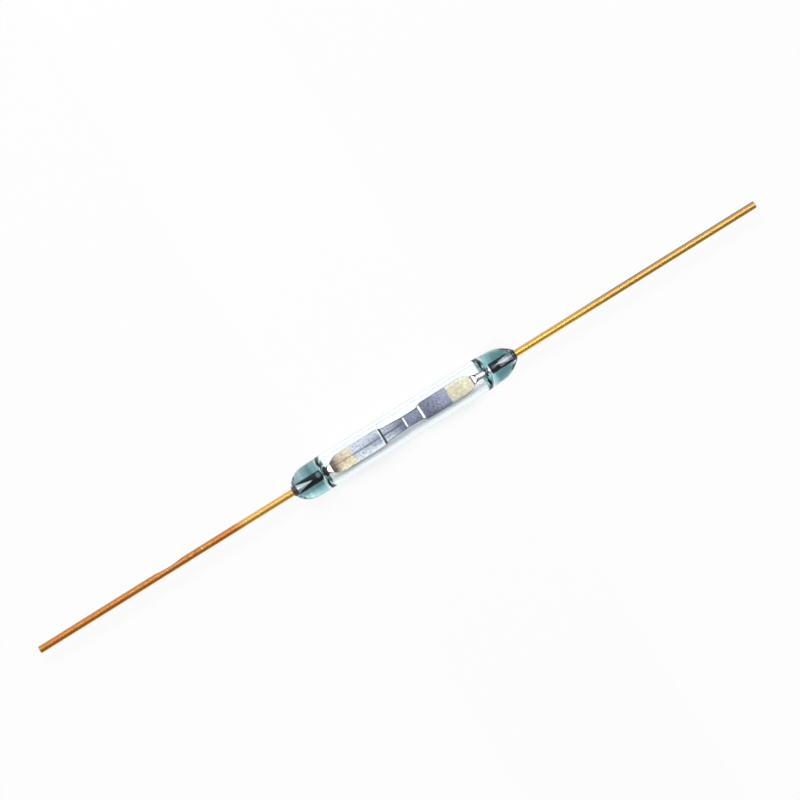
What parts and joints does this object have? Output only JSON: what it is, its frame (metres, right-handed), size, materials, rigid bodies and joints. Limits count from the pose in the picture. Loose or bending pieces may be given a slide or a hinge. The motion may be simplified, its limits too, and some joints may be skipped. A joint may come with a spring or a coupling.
{
  "type": "glass reed switch",
  "caption": "Slim glass tube sealed around gold-plated wire leads, with overlapping flat blades inside that bend together and close a contact under a magnet.",
  "frame": {"origin": "middle of the glass, on the common axis of the two wires", "axes": "+X along the wires towards the right lead, +Z square to the blades' flat faces, on the left blade's side"},
  "size_m": [0.045, 0.0018, 0.002],
  "materials": {
    "glass": "fire-polished, clear with a faint green tint",
    "gold_plate": "gold-plated drawn wire, satin",
    "contact_plate": "pressed nickel-iron with a satin contact plating"
  },
  "bodies": {
    "capsule": {"glass_envelope": "glass", "left_lead": "gold_plate", "right_lead": "gold_plate"},
    "left_blade": {"left_blade": "contact_plate"},
    "right_blade": {"right_blade": "contact_plate"}
  },
  "joints": [
    {"name": "left_blade_bend", "type": "hinge", "parent": "capsule", "child": "left_blade", "pos_m": [-0.00483, 0, 0], "axis": [0, 1, 0], "range_deg": [0, 0.35], "stiffness_Nm_per_rad": 0.001},
    {"name": "right_blade_bend", "type": "hinge", "parent": "capsule", "child": "right_blade", "pos_m": [0.00455, 0, 0], "axis": [0, 1, 0], "range_deg": [0, 0.35], "stiffness_Nm_per_rad": 0.001}
  ],
  "couplings": [
    {"joint": "right_blade_bend", "follows": "left_blade_bend", "ratio": 1}
  ]
}
